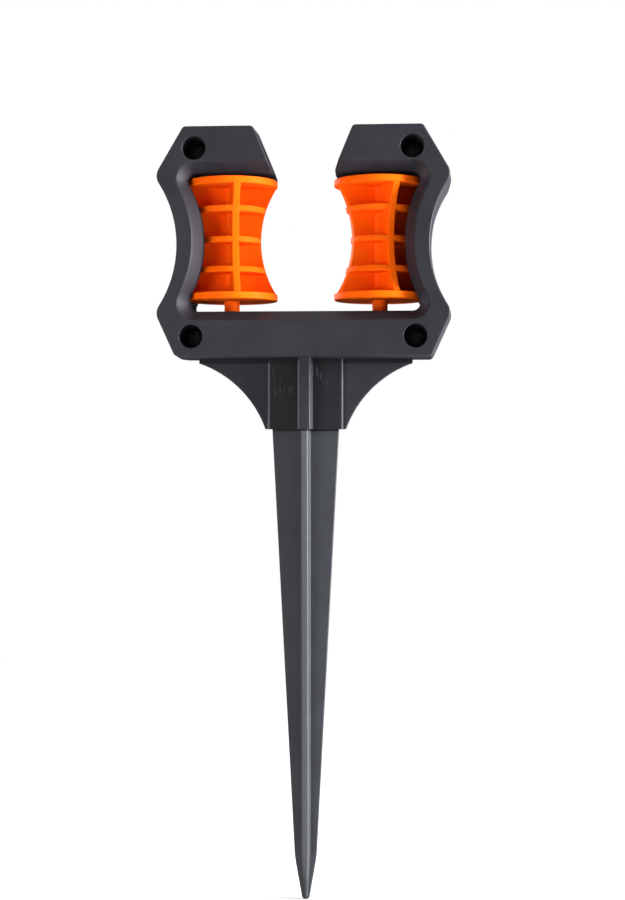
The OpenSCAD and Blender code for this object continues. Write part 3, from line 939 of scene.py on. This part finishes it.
# %% Gussets
GUSSET_T, GUSSET_R, GUSSET_ROUND, FOOT_ROUND = 1.5, 36.4, 0.4, 0.5
GUSSET_END = Vector((36.0, 21.6))
GUSSET_FOOT = Vector((SOCKET_HALF_W + 0.8, SOCKET_FOOT + HAIR))
FREE_X, FREE_Z, FREE_Y = SOCKET_HALF_W + 0.1, 22, -0.1
chord = GUSSET_END - GUSSET_FOOT
sag = sqrt(GUSSET_R**2 - (chord.length / 2) ** 2)
middle = (GUSSET_FOOT + GUSSET_END) / 2 + sag * Vector((chord.y, -chord.x)) / chord.length
foot_top = GUSSET_FOOT.y + FOOT_ROUND
start = Vector((middle.x - sqrt(GUSSET_R**2 - (foot_top - middle.y) ** 2), foot_top))


def free(ends):
    """An edge that stays outside socket and bar."""
    return all(abs(p.x) > FREE_X and p.z < FREE_Z for p in ends)


pen = Pen(0, GUSSET_FOOT.y, -2 * HAIR, "gusset")
pen.line_to(start.x - FOOT_ROUND, GUSSET_FOOT.y)
pen.arc(start.x - FOOT_ROUND, foot_top, 90, 4)
pen.arc(*middle, direction(GUSSET_END - middle) - direction(start - middle), 20)
pen.line_to(GUSSET_END.x, socket_top)
pen.line_to(0, socket_top)
pen.close()
bpy.ops.mesh.extrude_region_move(TRANSFORM_OT_translate={"value": (0, -GUSSET_T * MM, 0)})
pick(pen.piece, "FACE", lambda corners: all(abs(p.x) < CLOSE for p in corners))
bpy.ops.mesh.delete(type="ONLY_FACE")
bpy.ops.object.mode_set(mode="OBJECT")
apply_modifier(pen.piece, "MIRROR", merge_threshold=WELD * MM)
bpy.ops.object.mode_set(mode="EDIT")
face_outwards()
round_edges(pen.piece, [
    (GUSSET_ROUND, lambda ends: free(ends) and all(p.y < FREE_Y for p in ends)),
    (PARTING_ROUND, lambda ends: free(ends) and all(p.y > FREE_Y for p in ends)),
])
combine(front_half, pen.piece, "UNION")
print("with socket and gussets:", len(front_half.data.polygons))

# %% [markdown]
# ## Room for the rollers
# The arms close round each roller and leave it a little room to turn, so the roller's envelope, grown
# by that gap, is cut out of the shell, together with the bores for its journals. The cutter is drawn
# and spun like the roller itself. Cutting with a copy of the finished roller would leave the marks of
# every disc.

# %% Room for the rollers
ROLLER_GAP, JOURNAL_GAP, END_PLAY = 0.6, 0.08, 0.3
ROOM_STEPS, ROOM_SPIN_STEPS = 24, 72
inner = ROLLER_HALF - FLANGE_T - ROLLER_GAP
outer_r = FLANGE_R + ROLLER_GAP
bore_r = JOURNAL_R + JOURNAL_GAP
room_r = HOURGLASS_R - ROLLER_GAP


def roller_room(side):
    """The space one roller takes as it turns, with its bores."""
    low, high = low_flange - ROLLER_GAP, high_flange + ROLLER_GAP
    bore_low, bore_high = JOURNAL_LOW - END_PLAY, JOURNAL_HIGH + END_PLAY
    turn = degrees(asin(inner / room_r))
    pen = Pen(0, bore_low, name="roller_room")
    for x, z in (
        (bore_r, bore_low), (bore_r, low), (outer_r, low), (outer_r, ROLLER_MID - inner),
        (curve_x - room_r * cos(radians(turn)), ROLLER_MID - inner),
    ):
        pen.line_to(x, z)
    pen.arc(curve_x, ROLLER_MID, -2 * turn, ROOM_STEPS)
    for x, z in (
        (outer_r, ROLLER_MID + inner), (outer_r, high), (bore_r, high), (bore_r, bore_high),
        (0, bore_high),
    ):
        pen.line_to(x, z)
    pen.spin_round(ROOM_SPIN_STEPS)
    pen.piece.location.x = side * ROLLER_X * MM
    settle(pen.piece)
    return pen.piece


for side in (-1, 1):
    combine(front_half, roller_room(side), "DIFFERENCE")
print("with roller rooms:", len(front_half.data.polygons))

# %% [markdown]
# ## The rear half
# The rear shell is the front one's mirror image, but without the deep screw holes, so it is copied
# before they are cut. A negative scale turns a shape inside out, and its normals are worked out again
# afterwards.

# %% The rear half
rear_half = copy_of(front_half, "rear_half")
rear_half.scale.y = -1
settle(rear_half)
bpy.ops.object.mode_set(mode="EDIT")
face_outwards()
finish(rear_half, "head", "rear_shell", head_plastic)

# %% [markdown]
# ## Deep screw holes
# Four screws hold the shells together. Their heads sit at the bottom of deep round holes, which look
# almost black from the front. A cylinder with a step is cut out at each place: wide for the head and
# narrow for the shank. The cutter flares at its mouth, which leaves a fine round on the rim:
# bevelling the rim afterwards would pull at the one large front face around it.

# %% Deep screw holes
SCREW_PLACES = [(side * x, z) for side in (-1, 1) for x, z in ((36.0, 92.1), (37.1, 29.9))]
HOLE_R, SHANK_HOLE_R, SEAT_T, MOUTH_ROUND = 3.9, 1.7, 5.0, 0.2
HOLE_STEPS, PAST = 48, 1


def screw_hole(x, z):
    """A cutter for one hole: a stepped half section, spun and laid on its side."""
    mouth = HALF_D - MOUTH_ROUND
    pen = Pen(0, -PAST, name="screw_hole")
    pen.line_to(SHANK_HOLE_R, -PAST)
    pen.line_to(SHANK_HOLE_R, SEAT_T)
    pen.line_to(HOLE_R, SEAT_T)
    pen.line_to(HOLE_R, mouth)
    pen.arc(HOLE_R + MOUTH_ROUND, mouth, -90, 4)
    pen.line_to(HOLE_R + MOUTH_ROUND, HALF_D + PAST)
    pen.line_to(0, HALF_D + PAST)
    pen.spin_round(HOLE_STEPS)
    pen.piece.rotation_euler.x = radians(90)
    pen.piece.location = Vector((x, 0, z)) * MM
    settle(pen.piece)
    return pen.piece


for x, z in SCREW_PLACES:
    combine(front_half, screw_hole(x, z), "DIFFERENCE")
print("screw holes:", len(SCREW_PLACES))
finish(front_half, "head", "front_shell", head_plastic)

# %% [markdown]
# ## The spike
# The spike is a cross of four blades that taper to a blunt point: two wide wings and a shallower rib
# in front and behind. Four thin boxes could be joined, but extruding keeps the cross one clean mesh.
# It starts as a slim block. Each side face is extruded into a blade and narrowed, and the blade's
# lower end is drawn in for the taper.

# %% The spike
WING_HALF, RIB_HALF, END_HALF = 11.3, 7.5, 3.8
ROOT_HALF, BLADE_HALF = 1.4, 1.1
SPIKE_L, POINT_L, POINT_R = 159.09, 17.0, 1.4
taper_z = -(SPIKE_L - POINT_L)
narrowing = 1 - BLADE_HALF / ROOT_HALF

ground_spike = add_box(
    "ground_spike", Vector((0, 0, taper_z / 2)), Vector((2 * ROOT_HALF, 2 * ROOT_HALF, -taper_z)),
)
bpy.ops.object.mode_set(mode="EDIT")
for way, reach in ((Vector((1, 0, 0)), WING_HALF), (Vector((0, 1, 0)), RIB_HALF)):
    across = Vector((way.y, way.x, 0))
    for out in (-way, way):
        pick(ground_spike, "FACE", lambda corners: (
            all(abs(p.dot(out) - ROOT_HALF) < CLOSE for p in corners)
        ))
        step = out * (reach - ROOT_HALF) * MM
        bpy.ops.mesh.extrude_region_move(TRANSFORM_OT_translate={"value": step})
        narrow = Vector((1, 1, 1)) - across * narrowing
        bpy.ops.transform.resize(value=narrow, center_override=out * reach * MM)
        pick(ground_spike, "EDGE", lambda ends: (
            all(p.dot(out) > reach - CLOSE and p.z < -1 for p in ends)
        ))
        bpy.ops.transform.translate(value=out * (END_HALF - reach) * MM)
print("blade faces:", len(bmesh.from_edit_mesh(ground_spike.data).faces))

# %% [markdown]
# ## The spike's point
# The lower ends of the four blades and the core between them are one flat cross. Extruding it and
# scaling it down gives the steep point: two short steps bend into it softly, and the last ones, like
# those of a ball, give its blunt end. The blades' edges then get a fine round, which catches the
# light as thin lines, and the inner corners a wider one.

# %% The spike's point
BEND_STEPS = [(14.5, 3.62), (12.0, 3.25)]
BALL_ANGLES = (0, 25, 50, 75)
BLADE_ROUND, ROOT_ROUND = 0.35, 0.5


def along_blade(ends):
    """An edge that runs down the spike."""
    return abs(ends[0].z - ends[1].z) > 2


def at_root(ends):
    """An edge in the inner corner between two blades."""
    return all(abs(abs(p.x) - abs(p.y)) < CLOSE for p in ends)


ball_end = sin(radians(BALL_ANGLES[-1]))
ball_steps = [
    (POINT_R * (1 - sin(radians(a)) / ball_end), POINT_R * cos(radians(a))) for a in BALL_ANGLES
]
pick(ground_spike, "FACE", lambda corners: all(abs(p.z - taper_z) < CLOSE for p in corners))
level, reach = POINT_L, END_HALF
for new_level, new_reach in BEND_STEPS + ball_steps:
    step = (0, 0, (new_level - level) * MM)
    bpy.ops.mesh.extrude_region_move(TRANSFORM_OT_translate={"value": step})
    shrink = new_reach / reach
    bpy.ops.transform.resize(value=(shrink, shrink, 1), center_override=(0, 0, 0))
    level, reach = new_level, new_reach
face_outwards()
round_edges(ground_spike, [
    (BLADE_ROUND, lambda ends: along_blade(ends) and not at_root(ends)),
    (ROOT_ROUND, lambda ends: along_blade(ends) and at_root(ends)),
])
print("spike faces:", len(ground_spike.data.polygons))

# %% [markdown]
# ## The spike's marks
# Two faint rings on the wings are the marks of the pins that push the spike out of its mould. They
# are too shallow to model, so the finish shows them. The ribs' outer faces are paler, almost down to
# the tip, and a painted shadow darkens the spike where it enters the socket. Each mark is a test on
# the place: distance from a pin, depth below a rib's face, depth below the socket.

# %% The spike's marks
EJECTOR_X, EJECTOR_Z, EJECTOR_REACH = 4.1, -103, 2.2


def ejector_marks(tree, place):
    """Two thin rings, one on each wing."""
    rings = []
    for x in (-EJECTOR_X, EJECTOR_X):
        spot = near(tree, place, (x, EJECTOR_Z), EJECTOR_REACH)
        rings.append(spot.rise(0.4, 0.5) - spot.rise(0.55, 0.65))
    return sum(rings)


def pale_ribs(tree, place):
    """The outer faces of the two ribs, which lean in with the taper and more so along the point."""
    y, z = axis_of(tree, place, "Y"), axis_of(tree, place, "Z")
    taper = (END_HALF - RIB_HALF) / taper_z
    point = (END_HALF - POINT_R) / (POINT_L - POINT_R)
    below = z.math("MAXIMUM", taper_z * MM - z, 0)
    depth = y.math("ABSOLUTE", y, 0) - taper * z + (point - taper) * below
    worn = depth.rise((RIB_HALF - 0.8) * MM, (RIB_HALF - 0.3) * MM)
    return worn * z.rise((3 - SPIKE_L) * MM, (12 - SPIKE_L) * MM)


# The spike's top edge gets a painted shadow where it enters the socket.
def painted_socket_shadow(tree, place):
    """A painted shadow on the spike's top edge, under the socket."""
    z = axis_of(tree, place, "Z")
    return 1.5 * z.rise((SOCKET_FOOT - 0.9) * MM, (SOCKET_FOOT - 0.4) * MM)


# The spike's tones are lighter than the head's as painted light: they make up for lamp light that
# reaches the spike less than the head.
spike_plastic = charcoal_plastic(
    "spike_charcoal", (0.031, 0.033, 0.038, 1), (0.037, 0.04, 0.046, 1),
    (ejector_marks, (0.012, 0.012, 0.015, 1)), (pale_ribs, (0.1, 0.1, 0.114, 1)),
    (painted_socket_shadow, (0.003, 0.003, 0.004, 1)),
)
finish(ground_spike, "head", "spike", spike_plastic)

# %% [markdown]
# ## Screws
# The screws sit deep in their holes, where only a glint of them shows. Modelling them again would
# change nothing that a camera sees, so their exact solids stay and only get a finish: plated steel
# with fine turning marks, darkened far below steel's own tone as painted shade for the deep holes.

# %% Screws
SCREWS = ("upper_left_screw", "upper_right_screw", "lower_left_screw", "lower_right_screw")
# Both steel tones are darkened as painted shade for the deep holes.
DARK_SHADED_STEEL, PALE_SHADED_STEEL = (0.012, 0.012, 0.013, 1), (0.035, 0.035, 0.038, 1)
shaded_screw_steel, tree = new_material("shade_darkened_steel")
turning = noise(tree, place_of(tree), 1800, 2, (1, 0.15, 1))
Wire.node(tree, tree.nodes["Principled BSDF"], None, {
    "Base Color": blend_colour(tree, turning, DARK_SHADED_STEEL, PALE_SHADED_STEEL),
    "Roughness": 0.5 + 0.2 * turning,
    "Metallic": 1.0,
})
for name in SCREWS:
    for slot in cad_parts[name].material_slots:
        slot.material = shaded_screw_steel
print("screws dressed:", len(SCREWS))

# %% [markdown]
# ## Sizes
# The dressed stake has to fill the same box as the solids, whose size is printed when the model is
# loaded.
